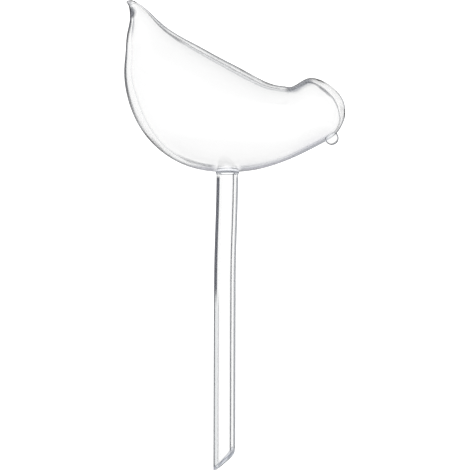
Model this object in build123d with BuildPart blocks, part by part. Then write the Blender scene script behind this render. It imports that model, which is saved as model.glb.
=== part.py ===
from build123d import *

import os
from math import isclose

# Watering globe of clear blown glass in the shape of a perched bird.
# Three pieces of glass are fused together: a hollow bird-shaped bulb that holds the water,
# a straight open tube that is pushed into the soil, and a solid bead that forms the beak.
# Millimetres. The origin is on the tube's axis where the tube meets the bulb, +Z runs up and
# +X points from the tail to the beak. The bird is the same on both sides of the XZ plane.

# Bulb: its overall size, and the share of its length from the tail side to the tube's axis
bulb_length = 81.2
bulb_height = 62.8
bulb_width = 39.6
tube_place_share = 0.471
glass_wall = 1.45

# Tube: a standard drawn glass tube, cut off slanting at its lower end
tube_diameter = 8.0
tube_wall = 1.5
tube_length = 109.7
tip_cut_angle = 41.0
seal_flare = 0.35
seal_height = 1.2

# Fire polish of the tube's cut end: the heel sinks into a wide round that meets the wall at a
# small angle, and the rims get small rounds, given as shares of the wall
heel_radius = 5.0
heel_lean_angle = 7.0
outer_polish_share = 0.5
inner_polish_share = 0.25

# Beak: a solid bead, and the direction in which it points below the horizontal
beak_diameter = 5.1
beak_length = 2.7
beak_root = 1.4
beak_skirt = 0.6
beak_dip_angle = 55.0

# Runs past what it cuts, so that no skin of glass is left
overrun = 2.0

# Stations of the bulb from the tail to the head, each an ellipse that leans with the bird.
# The shares of length and height are those of its top on the back and of its foot on the belly,
# then come its share of the width, and its shares of the wall at the back and at the belly.
station_shares = [
    (0.029, 0.999, 0.014, 0.975, 0.040, 0.80, 1.00),
    (0.051, 0.989, 0.020, 0.953, 0.078, 0.50, 0.90),
    (0.082, 0.963, 0.023, 0.921, 0.130, 0.45, 1.00),
    (0.117, 0.926, 0.023, 0.881, 0.200, 0.55, 1.10),
    (0.161, 0.873, 0.012, 0.805, 0.310, 0.75, 1.30),
    (0.234, 0.805, 0.006, 0.705, 0.475, 0.86, 1.50),
    (0.325, 0.743, 0.000, 0.586, 0.670, 1.08, 1.75),
    (0.423, 0.675, 0.016, 0.434, 0.850, 1.12, 2.15),
    (0.515, 0.615, 0.075, 0.256, 0.960, 1.15, 2.15),
    (0.589, 0.564, 0.171, 0.120, 1.000, 0.95, 1.75),
    (0.647, 0.528, 0.302, 0.030, 0.970, 0.75, 1.50),
    (0.690, 0.512, 0.451, 0.002, 0.880, 0.65, 1.15),
    (0.727, 0.506, 0.591, 0.016, 0.770, 0.65, 0.90),
    (0.756, 0.505, 0.703, 0.057, 0.665, 0.80, 0.85),
    (0.788, 0.527, 0.789, 0.104, 0.605, 1.10, 0.85),
    (0.830, 0.555, 0.850, 0.144, 0.580, 1.45, 0.85),
    (0.889, 0.545, 0.900, 0.179, 0.545, 1.90, 0.85),
    (0.943, 0.502, 0.937, 0.209, 0.460, 1.65, 0.80),
    (0.980, 0.450, 0.965, 0.241, 0.330, 1.50, 0.70),
    (0.996, 0.404, 0.984, 0.281, 0.190, 1.40, 0.75),
    (0.9995, 0.375, 0.996, 0.320, 0.085, 1.25, 0.95),
]
tail_point_shares = (0.007, 0.989)
nose_point_shares = (1.000, 0.349)
nose_wall_share = 1.15

# The first station is solid glass, the tail's drawn point, and the cavity's tip lies behind it
solid_station_count = 1
cavity_tail_shares = (0.034, 0.977)

# How far up the mouth is opened, and where the beak sits on the throat
mouth_reach_share = 0.25
beak_seat_shares = (0.939, 0.209)

sideways = Vector(0, 1, 0)
tube_radius = tube_diameter / 2
bore_radius = tube_radius - tube_wall


def bulb_point(shares):
    """A point of the bird's middle plane, from its shares of the bulb's length and height."""
    along, up = shares
    return Vector((along - tube_place_share) * bulb_length, 0, up * bulb_height)


def inset(points, walls, before, after, side):
    """Outline points moved square to the outline, into the glass, by each point's own wall."""
    moved = []
    row = [before, *points, after]
    for index, wall in enumerate(walls):
        run = (row[index + 2] - row[index]).normalized()
        moved.append(row[index + 1] + run.cross(sideways) * wall * side)
    return moved


def rings(backs, bellies, half_widths):
    """One ellipse for each station, on the line from the belly to the back, in four quarter arcs."""
    made = []
    for back, belly, half_width in zip(backs, bellies, half_widths):
        rise = back - belly
        stand = Plane(origin=(back + belly) / 2, x_dir=rise, z_dir=rise.cross(sideways))
        with BuildSketch(stand) as ring:
            with BuildLine():
                for quarter in range(4):
                    EllipticalCenterArc((0, 0), rise.length / 2, half_width, quarter * 90)
            make_face()
        made.append(ring.sketch)
    return made


# Outer skin
backs = [bulb_point(row[0:2]) for row in station_shares]
bellies = [bulb_point(row[2:4]) for row in station_shares]
half_widths = [row[4] * bulb_width / 2 for row in station_shares]
tail_point = bulb_point(tail_point_shares)
nose_point = bulb_point(nose_point_shares)
outer_rings = rings(backs, bellies, half_widths)

# Inner skin: it follows the outer one at the wall's depth, and keeps its ellipses' proportions
back_walls = [row[5] * glass_wall for row in station_shares]
belly_walls = [row[6] * glass_wall for row in station_shares]
inner_backs = inset(backs, back_walls, tail_point, nose_point, -1)
inner_bellies = inset(bellies, belly_walls, tail_point, nose_point, 1)
inner_half_widths = [
    half_width * (inner_back - inner_belly).length / (back - belly).length
    for half_width, inner_back, inner_belly, back, belly in zip(
        half_widths, inner_backs, inner_bellies, backs, bellies
    )
]
inner_rings = rings(inner_backs, inner_bellies, inner_half_widths)[solid_station_count:]
inner_nose = nose_point - Vector(nose_wall_share * glass_wall, 0, 0)

# Filled form of the bulb: it cuts the seats of the tube and the beak
with BuildPart() as bulb_form:
    loft([Vertex(*tail_point), *outer_rings, Vertex(*nose_point)])

# Bulb: a closed hollow bird with one round mouth in its belly
with BuildPart() as bird_bulb:
    add(bulb_form.part)
    loft([Vertex(*bulb_point(cavity_tail_shares)), *inner_rings, Vertex(*inner_nose)], mode=Mode.SUBTRACT)
    with BuildSketch(Plane.XY.offset(-overrun)):
        Circle(bore_radius)
    extrude(amount=mouth_reach_share * bulb_height, mode=Mode.SUBTRACT)
bird_bulb.part.label = "bird_bulb"


def rim(radius):
    """Edges of the tube's cut end that run round it at one radius."""
    middles = [(edge, edge @ 0.5) for edge in edges().filter_by(GeomType.LINE, reverse=True)]
    return [
        edge
        for edge, middle in middles
        if middle.Z < -tube_length / 2 and isclose(Vector(middle.X, middle.Y).length, radius, rel_tol=1e-4)
    ]


# Tube: turned profile with a flared seal at the top, then the slanting cut and its melted edges
with BuildPart() as stem_tube:
    with BuildSketch(Plane.XZ):
        with BuildLine():
            outside = Line((tube_radius, -tube_length), (tube_radius, -seal_height))
            flare = TangentArc(outside @ 1, (tube_radius + seal_flare, 0), tangent=outside % 1)
            Polyline(
                flare @ 1,
                (tube_radius + seal_flare, overrun),
                (bore_radius, overrun),
                (bore_radius, -tube_length),
                outside @ 0,
            )
        make_face()
    revolve(axis=Axis.Z)
    with BuildSketch(Plane.XZ):
        with BuildLine():
            slant = PolarLine(
                (-tube_radius, -tube_length), tube_diameter, tip_cut_angle, length_mode=LengthMode.HORIZONTAL
            )
            heel = PolarLine(slant @ 1, tube_radius, 90 - heel_lean_angle)
            toe = PolarLine(slant @ 0, overrun, 180 + tip_cut_angle)
            right, left, foot = (heel @ 1).X + overrun, (toe @ 1).X, (toe @ 1).Y - overrun
            Polyline(heel @ 1, (right, (heel @ 1).Y), (right, foot), (left, foot), toe @ 1)
        make_face()
        fillet(vertices().sort_by_distance(slant @ 1)[0], heel_radius)
    extrude(amount=tube_diameter, both=True, mode=Mode.SUBTRACT)
    fillet(rim(tube_radius), outer_polish_share * tube_wall)
    fillet(rim(bore_radius), inner_polish_share * tube_wall)
    add(bulb_form.part, mode=Mode.SUBTRACT)
stem_tube.part.label = "stem_tube"

# Beak: a bead turned about its own axis, with a melted skirt, seated on the throat
beak_seat = bulb_point(beak_seat_shares)
beak_aim = Vector(1, 0, 0).rotate(Axis.Y, beak_dip_angle)
beak_radius = beak_diameter / 2
with BuildPart() as beak_bead:
    with BuildSketch(Plane(origin=beak_seat, x_dir=beak_aim, z_dir=-sideways)):
        with BuildLine():
            bead = EllipticalCenterArc((0, 0), beak_length, beak_radius)
            skirt = TangentArc(bead @ 1, (-beak_root, beak_radius + beak_skirt), tangent=bead % 1)
            Polyline(skirt @ 1, (-beak_root, 0), bead @ 0)
        make_face()
    revolve(axis=Axis(beak_seat, beak_aim))
    add(bulb_form.part, mode=Mode.SUBTRACT)
beak_bead.part.label = "beak_bead"

os.makedirs("parts", exist_ok=True)
for piece in (bird_bulb, stem_tube, beak_bead):
    glass = piece.part
    export_step(glass, f"parts/{glass.label}.step")
    box = glass.bounding_box()
    print(glass.label, "valid", glass.is_valid, "volume", round(glass.volume, 1), box.min, box.max)
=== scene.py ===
import math

import bmesh
import bpy
import numpy as np
from mathutils import Matrix, Vector
from mathutils.bvhtree import BVHTree


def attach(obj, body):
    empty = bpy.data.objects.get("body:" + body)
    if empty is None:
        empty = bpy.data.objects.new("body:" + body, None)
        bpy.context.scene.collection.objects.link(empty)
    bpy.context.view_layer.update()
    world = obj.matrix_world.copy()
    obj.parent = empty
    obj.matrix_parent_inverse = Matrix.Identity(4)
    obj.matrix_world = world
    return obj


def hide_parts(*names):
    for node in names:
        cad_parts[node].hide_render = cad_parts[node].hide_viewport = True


# Watering globe of clear glass in the shape of a perched bird: a blown bulb, a drawn tube
# that goes into the soil, and a bead for the beak. Shapes are given in millimetres.

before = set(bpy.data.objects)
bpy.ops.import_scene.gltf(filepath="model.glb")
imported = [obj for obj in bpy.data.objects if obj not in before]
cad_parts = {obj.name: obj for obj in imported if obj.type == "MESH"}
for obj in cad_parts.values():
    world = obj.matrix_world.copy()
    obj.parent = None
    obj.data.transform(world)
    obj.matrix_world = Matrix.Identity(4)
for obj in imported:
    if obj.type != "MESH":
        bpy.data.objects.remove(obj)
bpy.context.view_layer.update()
mm = 0.001
weldGap = 1e-7  # metres within which two points are one
sharpEdge = 40  # degrees between two surfaces that meet at an edge
print("frame loaded")


# Small helpers

def hexColour(code):
    parts = [int(code[i:i + 2], 16) / 255 for i in (0, 2, 4)]
    linear = [part / 12.92 if part <= 0.04045 else ((part + 0.055) / 1.055) ** 2.4 for part in parts]
    return (*linear, 1.0)


def addNode(tree, kind, settings=None, links=None):
    node = tree.nodes.new(kind)
    for name, value in (settings or {}).items():
        if isinstance(name, int) or name in node.inputs:
            node.inputs[name].default_value = value
        else:
            setattr(node, name, value)
    for name, source in (links or {}).items():
        tree.links.new(source, node.inputs[name])
    return node


def emptyTree(owner):
    owner.use_nodes = True
    owner.node_tree.nodes.clear()
    return owner.node_tree


def makeObject(name, mesh, *materials):
    thing = bpy.data.objects.new(name, mesh)
    bpy.context.scene.collection.objects.link(thing)
    for material in materials:
        mesh.materials.append(material)
    return thing


def meshFrom(work, name, sharpDegrees=None):
    # Smooth glass, with a split shade only where two surfaces meet at an edge
    for face in work.faces:
        face.smooth = True
    if sharpDegrees:
        for edge in work.edges:
            edge.smooth = edge.calc_face_angle(0) < math.radians(sharpDegrees)
    mesh = bpy.data.meshes.new(name)
    work.to_mesh(mesh)
    work.free()
    return mesh


def cutAway(name, body, cutter):
    # The body without what the cutter takes, as a plain mesh
    bodyObject = makeObject(name + "Body", body)
    cutterObject = makeObject(name + "Cutter", cutter)
    cut = bodyObject.modifiers.new("cut", "BOOLEAN")
    cut.operation = "DIFFERENCE"
    cut.solver = "EXACT"
    cut.object = cutterObject
    ready = bodyObject.evaluated_get(bpy.context.evaluated_depsgraph_get())
    result = bpy.data.meshes.new_from_object(ready)
    bpy.data.objects.remove(bodyObject)
    bpy.data.objects.remove(cutterObject)
    return result


def turned(profile, axis, around, closed=False):
    # A profile in the side plane, spun once round an axis through the origin
    work = bmesh.new()
    row = [work.verts.new((x * mm, 0, z * mm)) for x, z in profile]
    for one, other in zip(row, row[1:] + (row[:1] if closed else [])):
        work.edges.new((one, other))
    bmesh.ops.spin(work, geom=work.verts[:] + work.edges[:], cent=(0, 0, 0), axis=axis, dvec=(0, 0, 0),
                   angle=2 * math.pi, steps=around, use_merge=True)
    bmesh.ops.remove_doubles(work, verts=work.verts, dist=weldGap)
    bmesh.ops.recalc_face_normals(work, faces=work.faces)
    return work


def arcPoints(centre, radius, startDegrees, endDegrees, steps):
    turns = np.radians(np.linspace(startDegrees, endDegrees, steps + 1))
    return [(centre[0] + radius * math.cos(turn), centre[1] + radius * math.sin(turn)) for turn in turns]


def closedSpline(points):
    # A curve with even bending through a closed row of points, measured along its chords
    rows = np.array(points, float)
    count = len(rows)
    chords = np.linalg.norm(np.roll(rows, -1, 0) - rows, axis=1)
    left, right = np.zeros((count, count)), np.zeros(rows.shape)
    for i in range(count):
        before, after, nextOne = chords[i - 1], chords[i], (i + 1) % count
        left[i, i - 1] += before
        left[i, i] += 2 * (before + after)
        left[i, nextOne] += after
        right[i] = 6 * ((rows[nextOne] - rows[i]) / after - (rows[i] - rows[i - 1]) / before)
    bends = np.linalg.solve(left, right)

    def at(place):
        i = int(place) % count
        nextOne, chord, share = (i + 1) % count, chords[i], place - int(place)
        near = 1 - share
        bend = (near ** 3 - near) * bends[i] + (share ** 3 - share) * bends[nextOne]
        return near * rows[i] + share * rows[nextOne] + bend * chord * chord / 6

    return at


# Glass

glassIor = 1.47  # borosilicate
outside, inside, seam, rim = range(4)  # material slots of the bulb and the tube


def seenColour(code):
    # The painted shade tints the light once where it goes in and once where it comes out. The way out is
    # never at a low angle, so the way in carries it all, and the shade wanted is squared here.
    return (*[value * value for value in hexColour(code)[:3]], 1.0)


def clearGlass(name, finishAndPaintedShade):
    # Clear when looked at squarely. Where the wall is seen on edge it is given painted shade: grey lines
    # that stand in for the darker room, bent and mirrored into the glass near its outlines. Each look says
    # how it darkens from square (0) to edge on (1), and where on the piece that holds, with the value where
    # it starts and the
    # value where it is full: towards a side, near a point, beside a line that runs straight across
    # the bird, across from the bird's middle plane, by height, or by distance from the cut end.
    material = bpy.data.materials.new(name)
    tree = emptyTree(material)
    coords = addNode(tree, "ShaderNodeTexCoord")
    waveScale = [1 / (size * mm) for size in finishAndPaintedShade["waveLength"]]
    stretch = addNode(tree, "ShaderNodeMapping", {"Scale": waveScale}, {"Vector": coords.outputs["Object"]})
    waves = addNode(tree, "ShaderNodeTexNoise", {"Scale": 1.0, "Detail": 1.0, "Roughness": 0.4},
                    {"Vector": stretch.outputs["Vector"]})
    bump = addNode(tree, "ShaderNodeBump", {"Strength": 1.0, "Distance": finishAndPaintedShade["waveDepth"] * mm},
                   {"Height": waves.outputs["Fac"]})
    weight = addNode(tree, "ShaderNodeLayerWeight", {"Blend": 0.5}, {"Normal": bump.outputs["Normal"]})
    split = addNode(tree, "ShaderNodeSeparateXYZ", None, {0: coords.outputs["Object"]})
    sidePlace = addNode(tree, "ShaderNodeVectorMath", {"operation": "MULTIPLY", 1: (1, 0, 1)},
                        {0: coords.outputs["Object"]})
    fromCut = addNode(tree, "ShaderNodeAttribute", {"attribute_name": "fromCut"})
    tint = None
    # Each look is painted shade, laid over the ones before it where its places hold
    for look in finishAndPaintedShade["looks"]:
        ramp = addNode(tree, "ShaderNodeValToRGB", None, {"Fac": weight.outputs["Facing"]})
        for facing, code in look["shade"][1:-1]:
            ramp.color_ramp.elements.new(facing)
        for element, (facing, code) in zip(ramp.color_ramp.elements, look["shade"]):
            element.position, element.color = facing, seenColour(code)
        share = None
        for kind, *at, start, end in look.get("where", []):
            if kind == "towards":
                lean = addNode(tree, "ShaderNodeVectorMath", {"operation": "DOT_PRODUCT", 1: at[0]},
                               {0: coords.outputs["Normal"]})
                source, scale = lean.outputs["Value"], 1
            elif kind in ("near", "beside"):
                place = coords.outputs["Object"] if kind == "near" else sidePlace.outputs[0]
                point = [value * mm for value in at[0]]
                gap = addNode(tree, "ShaderNodeVectorMath", {"operation": "DISTANCE", 1: point}, {0: place})
                source, scale = gap.outputs["Value"], mm
            elif kind == "across":
                gap = addNode(tree, "ShaderNodeVectorMath", {"operation": "DISTANCE"},
                              {0: coords.outputs["Object"], 1: sidePlace.outputs[0]})
                source, scale = gap.outputs["Value"], mm
            elif kind == "height":
                source, scale = split.outputs["Z"], mm
            else:
                source, scale = fromCut.outputs["Fac"], 1
            limits = {"From Min": start * scale, "From Max": end * scale}
            part = addNode(tree, "ShaderNodeMapRange", {"interpolation_type": "SMOOTHSTEP", **limits},
                           {"Value": source})
            share = part if share is None else addNode(tree, "ShaderNodeMath", {"operation": "MULTIPLY"},
                                                       {0: share.outputs[0], 1: part.outputs[0]})
        if tint is None:
            tint = ramp.outputs[0]
        else:
            laid = addNode(tree, "ShaderNodeMix", {"data_type": "RGBA"},
                           {0: share.outputs[0], 6: tint, 7: ramp.outputs[0]})
            tint = laid.outputs[2]
    shader = addNode(tree, "ShaderNodeBsdfPrincipled",
                     {"Roughness": 0.0, "IOR": glassIor, "Transmission Weight": 1.0},
                     {"Base Color": tint, "Normal": bump.outputs["Normal"]})
    addNode(tree, "ShaderNodeOutputMaterial", None, {"Surface": shader.outputs[0]})
    return material


# Free-blown borosilicate: clear, with slow waves in the wall that bend its painted shade lines
blownOutside = clearGlass("blownBorosilicateOutsidePaintedShade", {
    "waveLength": (11, 11, 11), "waveDepth": 0.03,
    "looks": [
        {"shade": [(0, "ffffff"), (0.69, "fcfcfc"), (0.75, "c8cacc"), (0.81, "a0a2a6"), (1, "8e9094")]},
        # belly: a soft grey band
        {"shade": [(0, "ffffff"), (0.286, "fafafa"), (0.40, "f5f5f6"), (0.50, "eeeff1"), (0.58, "e4e5e8"),
                   (0.62, "d4d5da"), (0.665, "bcbcc4"), (1, "b4b4bc")],
         "where": [("towards", (0.2, 0, -0.98), 0.78, 0.92)]},
        # breast, under the head
        {"shade": [(0, "ffffff"), (0.42, "f2f2f4"), (0.54, "d6d6dc"), (0.62, "acaeb6"), (1, "a0a2aa")],
         "where": [("towards", (0.45, 0, -0.89), 0.5, 0.85), ("near", (32, 0, 10), 15, 5)]},
        # front of the head
        {"shade": [(0, "ffffff"), (0.66, "fcfcfc"), (0.74, "c0c2c6"), (0.82, "989a9e"), (1, "989a9e")],
         "where": [("towards", (0.95, 0, -0.31), 0.65, 0.92)]},
        # rear, the darkest line of the bird
        {"shade": [(0, "ffffff"), (0.60, "fcfcfc"), (0.64, "d8dadc"), (0.69, "54565c"), (0.84, "54565c"),
                   (0.93, "a8aaae"), (1, "b8babe")],
         "where": [("towards", (-0.97, 0, 0.24), 0.5, 0.9), ("across", 9, 5.5)]},
        # root of the tail, then the rear below it
        {"shade": [(0, "ffffff"), (0.50, "fcfcfc"), (0.62, "c4c6ca"), (0.74, "a0a2a6"), (1, "94969a")],
         "where": [("near", (-27.5, 0, 57), 11, 6)]},
        {"shade": [(0, "ffffff"), (0.42, "fcfcfc"), (0.52, "84868a"), (0.62, "54565c"), (1, "54565c")],
         "where": [("towards", (-1, 0, 0), 0.2, 0.6), ("near", (-36, 0, 51.5), 9, 5),
                   ("across", 4.5, 2.8)]},
        # hook of the tail and its tip
        {"shade": [(0, "dcdee2"), (0.14, "a8aaae"), (0.32, "74767c"), (1, "5c5e64")],
         "where": [("towards", (-1, 0, 0), -0.2, 0.1), ("beside", (-36.6, 0, 58.0), 3.2, 1.8)]},
        {"shade": [(0, "e4e4e6"), (0.30, "a0a2a6"), (1, "64666c")],
         "where": [("towards", (-1, 0, 0), -0.2, 0.1), ("near", (-36.7, 0, 61.3), 2.2, 1.2)]},
        # lower back, then the top of the head, both faint
        {"shade": [(0, "ffffff"), (0.72, "fcfcfc"), (0.80, "dcdee0"), (1, "d4d6d8")],
         "where": [("near", (12, 0, 34.4), 8, 4.5)]},
        {"shade": [(0, "ffffff"), (0.75, "fcfcfc"), (1, "f0f0f0")],
         "where": [("near", (35.2, 0, 32.6), 6.5, 4.5)]},
        # nape, then the rise from it to the crown
        {"shade": [(0, "ffffff"), (0.40, "fcfcfc"), (0.50, "c8cace"), (0.58, "8e9094"), (1, "86888c")],
         "where": [("beside", (24.2, 0, 31.3), 4.4, 2.4)]},
        {"shade": [(0, "ffffff"), (0.30, "fcfcfc"), (0.45, "ccced2"), (0.58, "989aa0"), (1, "888a90")],
         "where": [("beside", (26.4, 0, 32.6), 5.4, 3.2)]},
        # beside the beak
        {"shade": [(0, "ffffff"), (0.44, "fcfcfc"), (0.54, "84868c"), (1, "64666c")],
         "where": [("near", (40.4, 0, 15.6), 4.5, 2.5)]},
        # round the seat of the tube
        {"shade": [(0, "ffffff"), (0.50, "fcfcfc"), (0.68, "ececf0"), (0.80, "dadae0"), (1, "ceced4")],
         "where": [("beside", (0, 0, 0.4), 5.5, 4.4)]},
    ]})
# The inside of the bulb has painted shade lines as well
blownInside = clearGlass("blownBorosilicateInsidePaintedShade", {
    "waveLength": (7, 7, 7), "waveDepth": 0.06,
    "looks": [
        {"shade": [(0, "ffffff"), (0.72, "fcfcfc"), (0.84, "dadcde"), (1, "ccced0")]},
        # bottom of the space for the water
        {"shade": [(0, "ffffff"), (0.64, "fcfcfc"), (0.71, "a4a6aa"), (0.78, "64666c"), (1, "64666c")],
         "where": [("towards", (0.2, 0, 0.98), 0.9, 0.985)]},
        # under the back: two lines, the outer one darker
        {"shade": [(0, "ffffff"), (0.60, "fcfcfc"), (0.64, "dcdee0"), (0.67, "b8babe"), (0.71, "e8e8ea"),
                   (0.75, "dcdee0"), (0.80, "84868c"), (1, "707278")],
         "where": [("towards", (-0.6, 0, -0.8), 0.6, 0.95)]},
        # under the crown
        {"shade": [(0, "ffffff"), (0.60, "fcfcfc"), (0.70, "94969c"), (0.80, "6c6e74"), (1, "6c6e74")],
         "where": [("near", (33.0, 0, 31.5), 8.0, 5.0)]},
        # front of the head, then where it meets the crown
        {"shade": [(0, "ffffff"), (0.62, "fcfcfc"), (0.72, "b0b2b6"), (0.80, "84868c"), (1, "84868c")],
         "where": [("towards", (-1, 0, 0.1), 0.3, 0.8), ("near", (38, 0, 24), 13, 8)]},
        {"shade": [(0, "ffffff"), (0.50, "fcfcfc"), (0.62, "8c8e94"), (0.75, "54565c"), (1, "54565c")],
         "where": [("near", (36, 0, 30.6), 4, 2)]},
        # under the tail, at the rear and at the back
        {"shade": [(0, "ffffff"), (0.40, "fcfcfc"), (0.55, "c0c2c6"), (0.70, "9a9ca0"), (1, "9a9ca0")],
         "where": [("towards", (0.97, 0, -0.24), 0.2, 0.7), ("near", (-34.5, 0, 56), 9, 4)]},
        {"shade": [(0, "ffffff"), (0.52, "fcfcfc"), (0.60, "a4a6aa"), (0.68, "787a7e"), (1, "686a6e")],
         "where": [("towards", (-0.6, 0, -0.8), 0.2, 0.6), ("near", (-23.4, 0, 53), 11, 7)]},
        # round the mouth
        {"shade": [(0, "ffffff"), (0.95, "fcfcfc"), (1, "f0f0f0")],
         "where": [("beside", (0, 0, 0.4), 6.5, 4.4)]},
    ]})

# Drawn borosilicate tube: its faint streaks run along it. Its grey lines are painted shade, darker on
# the side towards the tail and most in the upper part, standing in for the dark side of the room.
drawnOutside = clearGlass("drawnBorosilicateOutsidePaintedShade", {
    "waveLength": (3.3, 3.3, 17), "waveDepth": 0.01,
    "looks": [
        {"shade": [(0, "ffffff"), (0.37, "fcfcfc"), (0.44, "bcbec2"), (0.50, "a6a8ac"), (1, "aaacb0")]},
        # side towards the tail, all the way down, then darker in the upper part
        {"shade": [(0, "ffffff"), (0.19, "fcfcfc"), (0.27, "e6e8e9"), (0.49, "e0e2e4"), (0.57, "75777b"),
                   (1, "6c6e72")],
         "where": [("towards", (-1, 0, 0), 0.2, 0.7)]},
        {"shade": [(0, "ffffff"), (0.26, "fcfcfc"), (0.30, "94969a"), (0.34, "60626a"), (0.75, "60626a"),
                   (1, "80828a")],
         "where": [("towards", (-1, 0, 0), 0.2, 0.7), ("height", -50, -42)]},
        # cut end: a pale zone with a grey line round its upper edge
        {"shade": [(0, "e6e8ec"), (0.30, "dcdee2"), (1, "c8cace")], "where": [("fromCut", 2.0, 1.6)]},
        {"shade": [(0, "bcbec4"), (0.3, "b8babe"), (1, "a8aaae")],
         "where": [("fromCut", 2.2, 1.9), ("fromCut", 1.4, 1.6)]},
        # seal: its lines fade below the belly and a grey line runs round the seam
        {"shade": [(0, "ffffff"), (0.50, "f8f8f8"), (0.70, "c8cacc"), (1, "b0b2b6")],
         "where": [("height", -2.2, -0.7)]},
        {"shade": [(0, "a4a6aa"), (1, "989a9e")], "where": [("height", -0.30, -0.1)]},
    ]})
# The bore has painted shade lines as well
drawnInside = clearGlass("drawnBorosilicateBorePaintedShade", {
    "waveLength": (3.3, 3.3, 4), "waveDepth": 0.02,
    "looks": [
        {"shade": [(0, "ffffff"), (0.49, "fcfcfc"), (0.58, "a8aaae"), (0.70, "84868a"), (1, "7c7e82")]},
        # wall of the bore on the beak's side, then the upper part of the other wall, which stays clear
        {"shade": [(0, "ffffff"), (0.34, "fcfcfc"), (0.41, "8c8e92"), (0.50, "5c5e64"), (1, "505258")],
         "where": [("towards", (-1, 0, 0), 0.2, 0.7)]},
        {"shade": [(0, "ffffff"), (0.9, "fcfcfc"), (1, "f0f0f0")],
         "where": [("towards", (1, 0, 0), 0.0, 0.4), ("height", -50, -42)]},
        # cut end
        {"shade": [(0, "fcfcfc"), (0.4, "ecedef"), (1, "c0c2c6")], "where": [("fromCut", 3.0, 1.8)]},
    ]})

# Melted bead: solid glass, pulled round by its own surface, with painted shade round its outline
meltedGlass = clearGlass("meltedBorosilicateBeadPaintedShade", {
    "waveLength": (5, 5, 5), "waveDepth": 0.005,
    "looks": [
        {"shade": [(0, "ffffff"), (0.38, "fcfcfc"), (0.46, "a8aaae"), (0.60, "8c8e92"), (1, "8c8e92")]},
    ]})

# Flame-softened seam, where one glass runs into the other: a matt near-white skin, painted light that
# makes it look as bright as the studio seen through the glass
seamPaintedLight = bpy.data.materials.new("flameSoftenedSeamPaintedLight")
tree = emptyTree(seamPaintedLight)
shader = addNode(tree, "ShaderNodeBsdfPrincipled",
                 {"Base Color": hexColour("f4f5f5"), "Roughness": 0.7, "Specular IOR Level": 0.0})
addNode(tree, "ShaderNodeOutputMaterial", None, {"Surface": shader.outputs[0]})

# Fire-polished rim: the cut end gets a grey skin of painted shade, darker where it rolls over at the
# lower edge and paler at the toe and at the heel, where the glass sank into a wide round
rimPaintedShade = {
    "shade": [(0, "d4d7dc"), (0.10, "c4c7cc"), (0.26, "5c5f65"), (1, "3c3f45")],  # as in the looks above
    "pale": "b4b7bd",
    "heel": (-104.8, -103.2), "toe": (-107.4, -108.4),  # heights where it starts to pale and is pale
}
paintedShadeRim = bpy.data.materials.new("firePolishedRimPaintedShade")
tree = emptyTree(paintedShadeRim)
weight = addNode(tree, "ShaderNodeLayerWeight", {"Blend": 0.5})
ramp = addNode(tree, "ShaderNodeValToRGB", None, {"Fac": weight.outputs["Facing"]})
for facing, code in rimPaintedShade["shade"][1:-1]:
    ramp.color_ramp.elements.new(facing)
for element, (facing, code) in zip(ramp.color_ramp.elements, rimPaintedShade["shade"]):
    element.position, element.color = facing, hexColour(code)
coords = addNode(tree, "ShaderNodeTexCoord")
split = addNode(tree, "ShaderNodeSeparateXYZ", None, {0: coords.outputs["Object"]})
ends = []
for start, full in (rimPaintedShade["heel"], rimPaintedShade["toe"]):
    limits = {"From Min": start * mm, "From Max": full * mm}
    ends.append(addNode(tree, "ShaderNodeMapRange", {"interpolation_type": "SMOOTHSTEP", **limits},
                        {"Value": split.outputs["Z"]}))
atEnds = addNode(tree, "ShaderNodeMath", {"operation": "MAXIMUM"},
                 {0: ends[0].outputs[0], 1: ends[1].outputs[0]})
rimShadeColour = addNode(tree, "ShaderNodeMix", {"data_type": "RGBA", 7: hexColour(rimPaintedShade["pale"])},
                  {0: atEnds.outputs[0], 6: ramp.outputs[0]})
shader = addNode(tree, "ShaderNodeBsdfPrincipled",
                 {"Roughness": 0.35, "IOR": glassIor, "Specular IOR Level": 0.2, "Alpha": 0.8},
                 {"Base Color": rimShadeColour.outputs[2]})
addNode(tree, "ShaderNodeOutputMaterial", None, {"Surface": shader.outputs[0]})
print("glass ready")


# Bird bulb

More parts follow.
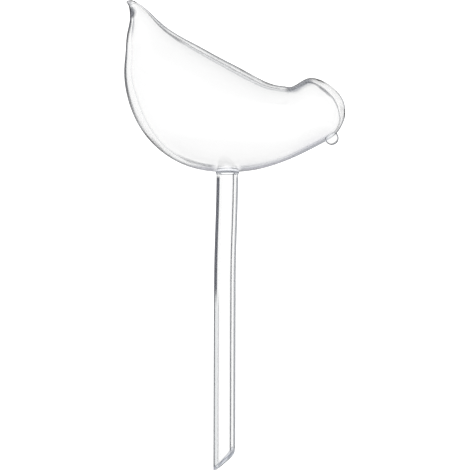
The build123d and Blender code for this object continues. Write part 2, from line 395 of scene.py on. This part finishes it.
birdBulb = {
    "length": 81.2, "height": 62.8, "width": 39.6,
    "tubePlace": 0.471,  # share of the length behind the tube's axis
    "wall": 1.45,
    # Shares: back x, back z, belly x, belly z, width, wall at the back, wall at the belly
    "stations": [
        (0.029, 0.999, 0.014, 0.975, 0.040, 0.80, 1.00),
        (0.051, 0.989, 0.020, 0.953, 0.078, 0.50, 0.70),
        (0.082, 0.963, 0.023, 0.921, 0.130, 0.45, 0.75),
        (0.117, 0.926, 0.023, 0.881, 0.200, 0.55, 0.85),
        (0.161, 0.873, 0.012, 0.805, 0.310, 0.75, 1.10),
        (0.234, 0.805, 0.006, 0.705, 0.475, 0.86, 1.50),
        (0.325, 0.743, 0.000, 0.586, 0.670, 0.98, 1.60),
        (0.423, 0.675, 0.016, 0.434, 0.850, 0.92, 1.90),
        (0.515, 0.615, 0.075, 0.256, 0.960, 0.90, 1.80),
        (0.589, 0.564, 0.171, 0.120, 1.000, 0.75, 1.30),
        (0.647, 0.528, 0.302, 0.030, 0.970, 0.65, 1.00),
        (0.690, 0.512, 0.451, 0.002, 0.880, 0.60, 0.90),
        (0.727, 0.506, 0.591, 0.016, 0.770, 0.65, 0.90),
        (0.756, 0.505, 0.703, 0.057, 0.665, 0.65, 0.85),
        (0.788, 0.527, 0.789, 0.104, 0.605, 0.70, 0.85),
        (0.830, 0.555, 0.850, 0.144, 0.580, 0.80, 0.85),
        (0.889, 0.545, 0.900, 0.179, 0.545, 1.10, 0.85),
        (0.943, 0.502, 0.937, 0.209, 0.460, 1.30, 0.80),
        (0.980, 0.450, 0.965, 0.241, 0.330, 1.45, 0.70),
        (0.996, 0.404, 0.984, 0.281, 0.190, 1.40, 0.75),
        (0.9995, 0.375, 0.996, 0.320, 0.085, 1.25, 0.95),
    ],
    "tailPoint": (0.007, 0.989), "nosePoint": (1.0, 0.349), "noseWall": 1.15,
    "solidStations": 1,  # the tail's drawn point is solid glass
    "cavityTail": (0.034, 0.977),
    "ringGap": 0.9, "fewestRings": 4, "around": 120,  # the mesh's rings between two stations
    "mouthTop": 15.7, "mouthFoot": -2, "mouthAround": 72,  # it is cut from below the belly up
}
tubeRadius, boreRadius = 4.0, 2.5


def bulbPoint(shares):
    along, up = shares
    return Vector(((along - birdBulb["tubePlace"]) * birdBulb["length"], up * birdBulb["height"]))


def insetPoints(points, walls, before, after, side):
    # Moved square to the outline, into the glass, by each point's own wall
    row, moved = [before, *points, after], []
    for i, wall in enumerate(walls):
        run = (row[i + 2] - row[i]).normalized()
        moved.append(row[i + 1] + Vector((-run.y, run.x)) * wall * side)
    return moved


def skin(name, tailPoint, backs, bellies, halfWidths, nosePoint):
    # A ball whose rings are laid one by one on the bird's leaning ellipses
    loop = [(*tailPoint, 0)]
    loop += [(*back, halfWidth) for back, halfWidth in zip(backs, halfWidths)]
    loop += [(*nosePoint, 0)]
    loop += [(*belly, -halfWidth) for belly, halfWidth in reversed(list(zip(bellies, halfWidths)))]
    at, count = closedSpline(loop), len(loop)
    places = []
    for i in range(count // 2):
        backRun, bellyRun = at(i + 1.0) - at(i), at(count - i - 1.0) - at(count - i)
        longest = max(np.linalg.norm(backRun), np.linalg.norm(bellyRun))
        steps = max(birdBulb["fewestRings"], math.ceil(longest / birdBulb["ringGap"]))
        places += [i + step / steps for step in range(steps)]
    places = places[1:]
    work = bmesh.new()
    bmesh.ops.create_uvsphere(work, u_segments=birdBulb["around"], v_segments=len(places) + 1, radius=1)
    levels = {}
    for vertex in work.verts:
        levels.setdefault(round(vertex.co.z, 6), []).append(vertex)
    heights = sorted(levels, reverse=True)
    for height, place in zip(heights[1:-1], places):
        back, belly = at(place), at(count - place)
        radius = math.sqrt(1 - height * height)
        rise, middle = (back - belly) / 2 / radius, (back + belly) / 2
        halfWidth = (back[2] - belly[2]) / 2 / radius
        lay = Matrix(((rise[0], 0, 0, middle[0]), (0, halfWidth, 0, 0),
                      (rise[1], 0, 0, middle[1]), (0, 0, 0, 1)))
        bmesh.ops.transform(work, matrix=lay, verts=levels[height])
    levels[heights[0]][0].co = (tailPoint[0], 0, tailPoint[1])
    levels[heights[-1]][0].co = (nosePoint[0], 0, nosePoint[1])
    bmesh.ops.scale(work, vec=(mm, mm, mm), verts=work.verts)
    bmesh.ops.recalc_face_normals(work, faces=work.faces)
    print(name, "rings", len(places))
    return work


table = birdBulb["stations"]
backs = [bulbPoint(row[0:2]) for row in table]
bellies = [bulbPoint(row[2:4]) for row in table]
halfWidths = [row[4] * birdBulb["width"] / 2 for row in table]
tailPoint, nosePoint = bulbPoint(birdBulb["tailPoint"]), bulbPoint(birdBulb["nosePoint"])
innerBacks = insetPoints(backs, [row[5] * birdBulb["wall"] for row in table], tailPoint, nosePoint, -1)
innerBellies = insetPoints(bellies, [row[6] * birdBulb["wall"] for row in table], tailPoint, nosePoint, 1)
# The inner ellipses keep the proportions of the outer ones
innerHalfWidths = []
for i, halfWidth in enumerate(halfWidths):
    narrowed = (innerBacks[i] - innerBellies[i]).length / (backs[i] - bellies[i]).length
    innerHalfWidths.append(halfWidth * narrowed)
innerNose = nosePoint - Vector((birdBulb["noseWall"] * birdBulb["wall"], 0))
first = birdBulb["solidStations"]

outerSkin = skin("outer skin", tailPoint, backs, bellies, halfWidths, nosePoint)
outerTree = BVHTree.FromBMesh(outerSkin)
innerSkin = skin("inner skin", bulbPoint(birdBulb["cavityTail"]), innerBacks[first:], innerBellies[first:],
                 innerHalfWidths[first:], innerNose)
bmesh.ops.reverse_faces(innerSkin, faces=innerSkin.faces)
for face in innerSkin.faces:
    face.material_index = inside
formMesh = meshFrom(outerSkin.copy(), "bulbForm")
innerMesh = bpy.data.meshes.new("innerSkin")
innerSkin.to_mesh(innerMesh)
innerSkin.free()
outerSkin.from_mesh(innerMesh)
shellMesh = meshFrom(outerSkin, "bulbShell")
for material in (blownOutside, blownInside, seamPaintedLight):
    shellMesh.materials.append(material)

mouth = bmesh.new()
top, foot = birdBulb["mouthTop"], birdBulb["mouthFoot"]
bmesh.ops.create_cone(mouth, cap_ends=True, segments=birdBulb["mouthAround"], depth=(top - foot) * mm,
                      radius1=boreRadius * mm, radius2=boreRadius * mm,
                      matrix=Matrix.Translation((0, 0, (top + foot) / 2 * mm)))
for face in mouth.faces:
    face.material_index = seam
mouthMesh = meshFrom(mouth, "mouth")
bulbMesh = cutAway("bulb", shellMesh, mouthMesh)
work = bmesh.new()
work.from_mesh(bulbMesh)
bulbMesh = meshFrom(work, "blownBulb", sharpEdge)
bulb = makeObject("blownBulb", bulbMesh, blownOutside, blownInside, seamPaintedLight)
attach(bulb, "root")
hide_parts("bird_bulb")
print("bulb ready", len(bulbMesh.polygons), "faces")


# Stem tube

stemTube = {
    "length": 109.7, "tipAngle": 41.0,
    "heelRadius": 5.0, "heelLean": 7.0,  # the heel of the cut end sank into a wide round
    "flare": 0.35, "sealHeight": 1.2,  # the melted seal widens a little under the bulb
    "outerPolish": 0.75, "innerPolish": 0.375,
    "around": 120, "rows": 66,
    "outerSteps": 10, "innerSteps": 6, "flareSteps": 6, "seatSteps": 7,
    "top": 1.0, "boreTop": -0.5,  # the top is then laid on the bulb
    "seatDepth": 0.005, "layFrom": -20,  # how far the top sinks in, and where its way up starts
    "rimBand": 0.7, "seatLean": 0.7, "boreLean": -0.3,  # what tells the rim, the seat and the bore
    "slantFade": 3,  # the slant of the cut end dies out up the tube
    "bow": 0.51, "bowPlace": 0.34, "bowLeft": -0.1,  # the tube took a faint bow while its seal was hot
    "bowIn": 2.4, "bowOut": 1.18,
}


def layOnBulb(vertex):
    below = Vector((vertex.co.x, vertex.co.y, stemTube["layFrom"] * mm))
    hit = outerTree.ray_cast(below, Vector((0, 0, 1)))[0]
    vertex.co.z = hit.z + stemTube["seatDepth"] * mm


def cutHeight(x):
    # How far the slanting cut lies above the toe: a straight slope that ends in the heel's round
    slope, lean = math.radians(stemTube["tipAngle"]), math.radians(90 - stemTube["heelLean"])
    radius = stemTube["heelRadius"]
    reach = 2 * tubeRadius / math.cos(slope) - radius * math.tan((lean - slope) / 2)
    startX, startZ = reach * math.cos(slope) - tubeRadius, reach * math.sin(slope)
    if x <= startX:
        return (x + tubeRadius) * math.tan(slope)
    centreX, centreZ = startX - radius * math.sin(slope), startZ + radius * math.cos(slope)
    return centreZ - math.sqrt(radius ** 2 - (min(x, tubeRadius) - centreX) ** 2)


def bowAt(share):
    # The bow is fullest a third of the way down and runs out towards the cut end
    place, bow = stemTube["bowPlace"], stemTube["bow"]
    if share < place:
        return bow * math.sin(math.pi / 2 * share / place) ** stemTube["bowIn"]
    return bow * (1 - (1 - stemTube["bowLeft"]) * ((share - place) / (1 - place)) ** stemTube["bowOut"])


def shareDown(vertex):
    return min(1, max(0, -vertex.co.z / (stemTube["length"] * mm)))


cutEnd, seal = -stemTube["length"], -stemTube["sealHeight"]
outer, inner = stemTube["outerPolish"], stemTube["innerPolish"]
profile = arcPoints((boreRadius + inner, cutEnd + inner), inner, 180, 270, stemTube["innerSteps"])
profile += arcPoints((tubeRadius - outer, cutEnd + outer), outer, 270, 360, stemTube["outerSteps"])
profile += [(tubeRadius, z) for z in np.linspace(cutEnd + outer, seal, stemTube["rows"])[1:]]
# The flare is an arc that leaves the tube's wall without a corner
flareTurn = 2 * math.atan2(stemTube["flare"], stemTube["sealHeight"])
flareRadius = stemTube["sealHeight"] / math.sin(flareTurn)
profile += arcPoints((tubeRadius + flareRadius, seal), flareRadius,
                     180, 180 - math.degrees(flareTurn), stemTube["flareSteps"])[1:]
sealRadii = np.linspace(tubeRadius + stemTube["flare"], boreRadius, stemTube["seatSteps"])
profile += [(radius, stemTube["top"]) for radius in sealRadii]
boreHeights = np.linspace(stemTube["boreTop"], cutEnd + inner, stemTube["rows"])
profile += [(boreRadius, z) for z in boreHeights[:-1]]

work = turned(profile, (0, 0, 1), stemTube["around"], closed=True)
for vertex in work.verts:
    if vertex.co.z > stemTube["top"] * mm / 2:
        layOnBulb(vertex)
work.normal_update()
for face in work.faces:
    middle = face.calc_center_median()
    lean = (face.normal.x * middle.x + face.normal.y * middle.y) / middle.xy.length
    if face.normal.z > stemTube["seatLean"]:
        face.material_index = seam
    elif middle.z / mm < cutEnd + stemTube["rimBand"]:
        face.material_index = rim
    elif lean < stemTube["boreLean"]:
        face.material_index = inside
    else:
        face.material_index = outside
fromCut = work.verts.layers.float.new("fromCut")
for vertex in work.verts:
    vertex[fromCut] = stemTube["length"] + vertex.co.z / mm
    vertex.co.z += cutHeight(vertex.co.x / mm) * mm * shareDown(vertex) ** stemTube["slantFade"]
    vertex.co.x -= bowAt(shareDown(vertex)) * mm
tubeMesh = meshFrom(work, "drawnTube", sharpEdge)
tube = makeObject("drawnTube", tubeMesh, drawnOutside, drawnInside, seamPaintedLight, paintedShadeRim)
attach(tube, "root")
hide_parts("stem_tube")
print("tube ready", len(tubeMesh.polygons), "faces")


# Beak bead

beakBead = {
    "diameter": 5.1, "length": 2.7, "root": 1.4, "skirt": 0.6, "dipAngle": 55.0,
    "seat": (0.939, 0.209),
    "around": 64, "roundSteps": 20, "skirtSteps": 9,
    "overlap": 0.03,  # how far the seat lies inside the throat's outer skin
    "seatSlot": 1,  # the second material
}

radius, root = beakBead["diameter"] / 2, beakBead["root"]
profile = [(beakBead["length"], 0)]
for turn in np.linspace(0, math.pi / 2, beakBead["roundSteps"])[1:]:
    profile.append((beakBead["length"] * math.cos(turn), radius * math.sin(turn)))
skirtTurn = 2 * math.atan2(beakBead["skirt"], root)
skirtRadius = root / math.sin(skirtTurn)
for turn in np.linspace(0, skirtTurn, beakBead["skirtSteps"])[1:]:
    profile.append((-skirtRadius * math.sin(turn), radius + skirtRadius * (1 - math.cos(turn))))
profile.append((-root, 0))
work = turned(profile, (1, 0, 0), beakBead["around"])
seatPoint = bulbPoint(beakBead["seat"]) * mm
dip = Matrix.Rotation(math.radians(beakBead["dipAngle"]), 4, "Y")
aim = Matrix.Translation((seatPoint.x, 0, seatPoint.y)) @ dip
bmesh.ops.transform(work, matrix=aim, verts=work.verts)
dropMesh = meshFrom(work, "drop")
work = bmesh.new()
work.from_mesh(formMesh)
for face in work.faces:
    face.material_index = beakBead["seatSlot"]
for vertex in work.verts:
    vertex.normal_update()
for vertex in work.verts:
    vertex.co -= vertex.normal * beakBead["overlap"] * mm
throatMesh = meshFrom(work, "throat")
for material in (meltedGlass, seamPaintedLight):
    dropMesh.materials.append(material)
beadMesh = cutAway("bead", dropMesh, throatMesh)
work = bmesh.new()
work.from_mesh(beadMesh)
beadMesh = meshFrom(work, "meltedBead", sharpEdge)
bead = makeObject("meltedBead", beadMesh, meltedGlass, seamPaintedLight)
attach(bead, "root")
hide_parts("beak_bead")
print("bead ready", len(beadMesh.polygons), "faces")


# Floor, light and camera

studio = {
    "floorDepth": 110.5, "floorSize": 8000, "floorColour": "f4f5f5",
    "roomLight": 1.45,  # the light on the floor, and what the camera sees of the room
    "glassLight": 1.06, "mirrorLight": 0.45,  # what shows through the glass and in its mirror
    "ceiling": 0.35, "ceilingEdge": (0.64, 0.84),  # how bright it is overhead, and how high up
    "darkColour": "14181e", "brightColour": "ffffff",
}

# Matt white backdrop paper: even and bright, without a shine
floorMaterial = bpy.data.materials.new("mattWhiteBackdropPaper")
tree = emptyTree(floorMaterial)
shader = addNode(tree, "ShaderNodeBsdfPrincipled",
                 {"Base Color": hexColour(studio["floorColour"]), "Roughness": 1.0,
                  "Specular IOR Level": 0.0})
addNode(tree, "ShaderNodeOutputMaterial", None, {"Surface": shader.outputs[0]})
work = bmesh.new()
bmesh.ops.create_grid(work, x_segments=1, y_segments=1, size=studio["floorSize"] / 2 * mm,
                      matrix=Matrix.Translation((0, 0, -studio["floorDepth"] * mm)))
floor = makeObject("backdropFloor", meshFrom(work, "backdropFloor"), floorMaterial)

# Through the glass only the even light of the room is seen, and the glass throws no shade
floor.visible_transmission = False
floor.visible_glossy = False
for glass in (bulb, tube, bead):
    glass.visible_shadow = False
    glass.visible_diffuse = False

# Soft white studio, darker overhead, with less of it in the mirror of the glass
world = bpy.data.worlds.new("softWhiteStudio")
bpy.context.scene.world = world
tree = emptyTree(world)
direction = addNode(tree, "ShaderNodeTexCoord").outputs["Generated"]
split = addNode(tree, "ShaderNodeSeparateXYZ", None, {0: direction})
ceilingStart, ceilingFull = studio["ceilingEdge"]
ceiling = addNode(tree, "ShaderNodeMapRange",
                  {"interpolation_type": "SMOOTHSTEP", "From Min": ceilingStart, "From Max": ceilingFull,
                   "To Min": 1.0, "To Max": studio["ceiling"]}, {"Value": split.outputs["Z"]})
dark, bright = hexColour(studio["darkColour"]), hexColour(studio["brightColour"])
tint = addNode(tree, "ShaderNodeMix", {"data_type": "RGBA", 6: dark, 7: bright}, {0: ceiling.outputs[0]})
path = addNode(tree, "ShaderNodeLightPath")
glassLight = addNode(tree, "ShaderNodeMapRange",
                     {"To Min": studio["glassLight"], "To Max": studio["mirrorLight"]},
                     {"Value": path.outputs["Is Reflection Ray"]})
seenLight = addNode(tree, "ShaderNodeBackground", None,
                    {"Color": tint.outputs[2], "Strength": glassLight.outputs[0]})
plainLight = addNode(tree, "ShaderNodeBackground", {"Color": (1, 1, 1, 1), "Strength": studio["roomLight"]})
plain = addNode(tree, "ShaderNodeMath", {"operation": "MAXIMUM"},
                {0: path.outputs["Is Camera Ray"], 1: path.outputs["Is Diffuse Ray"]})
both = addNode(tree, "ShaderNodeMixShader", None,
               {0: plain.outputs[0], 1: seenLight.outputs[0], 2: plainLight.outputs[0]})
addNode(tree, "ShaderNodeOutputWorld", None, {"Surface": both.outputs[0]})
bpy.context.scene.view_settings.view_transform = "Standard"

photoView = {
    "lens": 200.0, "sensor": 36.0,
    "frame": 172.08,  # width of the picture at the object, in millimetres
    "centre": (3.03, -22.82), "roll": 0.01077,  # radians
    "farEnd": 50,  # metres that the camera sees
}
cameraData = bpy.data.cameras.new("photoCamera")
cameraData.lens = photoView["lens"]
cameraData.sensor_width = photoView["sensor"]
cameraData.clip_end = photoView["farEnd"]
distance = photoView["lens"] / photoView["sensor"] * photoView["frame"] * mm
camera = bpy.data.objects.new("photoCamera", cameraData)
bpy.context.scene.collection.objects.link(camera)
stand = Matrix.Rotation(-photoView["roll"], 4, "Y") @ Matrix.Rotation(math.radians(90), 4, "X")
centreX, centreZ = photoView["centre"]
camera.matrix_world = Matrix.Translation((centreX * mm, -distance, centreZ * mm)) @ stand
bpy.context.scene.camera = camera
print("studio ready")
